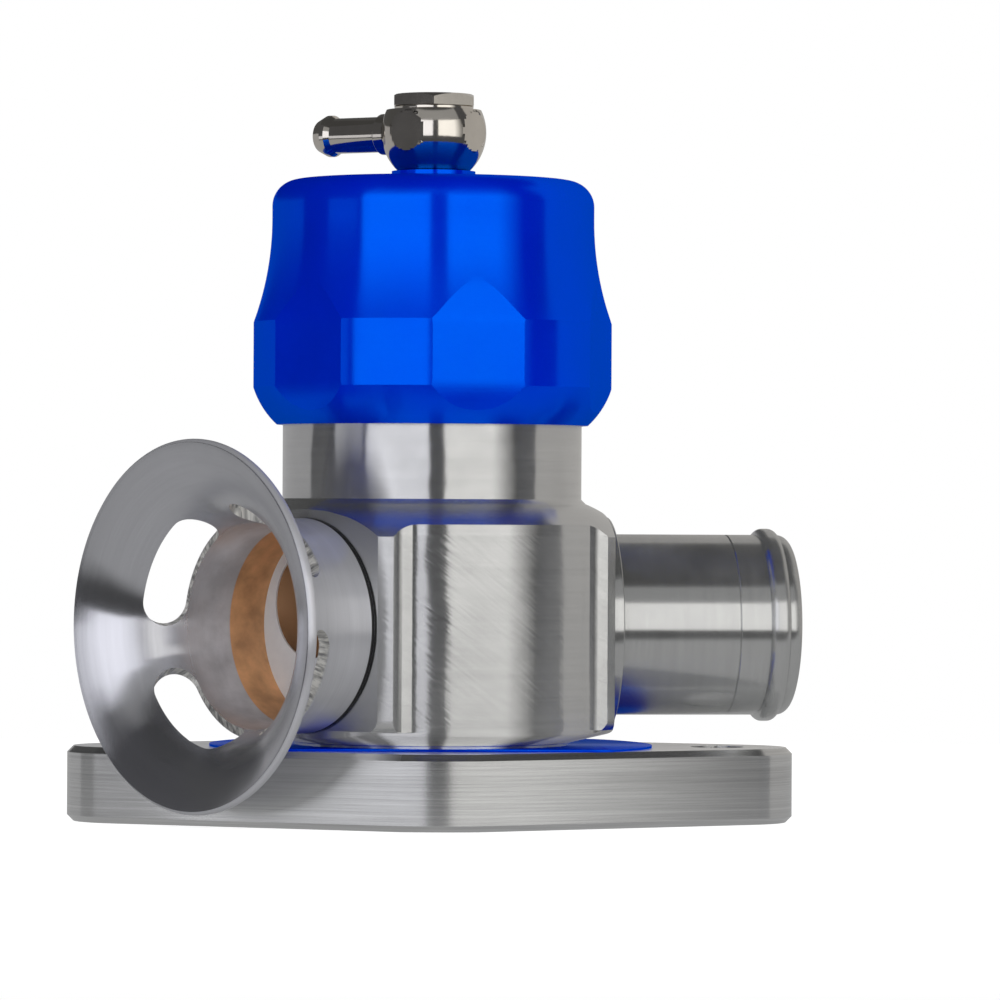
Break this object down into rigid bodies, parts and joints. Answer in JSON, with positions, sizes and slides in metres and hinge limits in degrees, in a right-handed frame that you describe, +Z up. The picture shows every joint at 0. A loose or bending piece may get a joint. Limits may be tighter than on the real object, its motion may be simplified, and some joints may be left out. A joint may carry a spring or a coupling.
{
  "type": "blow off valve",
  "caption": "Two-bolt flange blow off valve: sprung piston in a turned body, slotted vent trumpet, beaded hose tail, faceted cap and banjo vacuum fitting.",
  "frame": {"origin": "centre of the inlet bore at the flange's underside", "axes": "+Z up along the valve axis, from the inlet to the cap; +X along the line of the two bolts, on the hose tail's side"},
  "size_m": [0.1169, 0.0888, 0.1162],
  "materials": {
    "milled_aluminium": "milled, with fine tool lines along each face",
    "turned_aluminium": "turned and milled satin",
    "trumpet_aluminium": "turned, polished in the throat",
    "tail_aluminium": "turned satin",
    "blue_anodised": "bright blue anodising over turned metal",
    "nickel_plate": "warm bright nickel plate",
    "bronze": "turned bronze",
    "seal_rubber": "matt black",
    "guide_plastic": "dull",
    "spring_steel": "drawn wire and plain plate"
  },
  "bodies": {
    "housing": {"mounting_flange": "milled_aluminium", "flange_o_ring": "seal_rubber", "seat_shim": "blue_anodised", "valve_body": "turned_aluminium", "body_o_ring": "seal_rubber", "vent_trumpet": "trumpet_aluminium", "vent_o_ring": "seal_rubber", "hose_tail": "tail_aluminium", "hose_o_ring": "seal_rubber", "cap": "blue_anodised", "cap_o_ring": "seal_rubber", "banjo_eye": "nickel_plate", "banjo_o_ring": "seal_rubber", "vacuum_barb": "nickel_plate", "banjo_washer": "nickel_plate", "banjo_bolt": "nickel_plate", "return_spring": "spring_steel", "spring_upper_washer": "spring_steel", "spring_spacer": "turned_aluminium"},
    "piston_group": {"piston": "bronze", "piston_lower_seal": "seal_rubber", "piston_guide_ring": "guide_plastic", "piston_upper_seal": "seal_rubber", "spring_lower_washer": "spring_steel"}
  },
  "joints": [
    {"name": "piston_slide", "type": "slide", "parent": "housing", "child": "piston_group", "axis": [0, 0, 1], "range_m": [0, 0.012], "stiffness_N_per_m": 2500, "springref_m": -0.012, "deforming": ["return_spring"]}
  ]
}
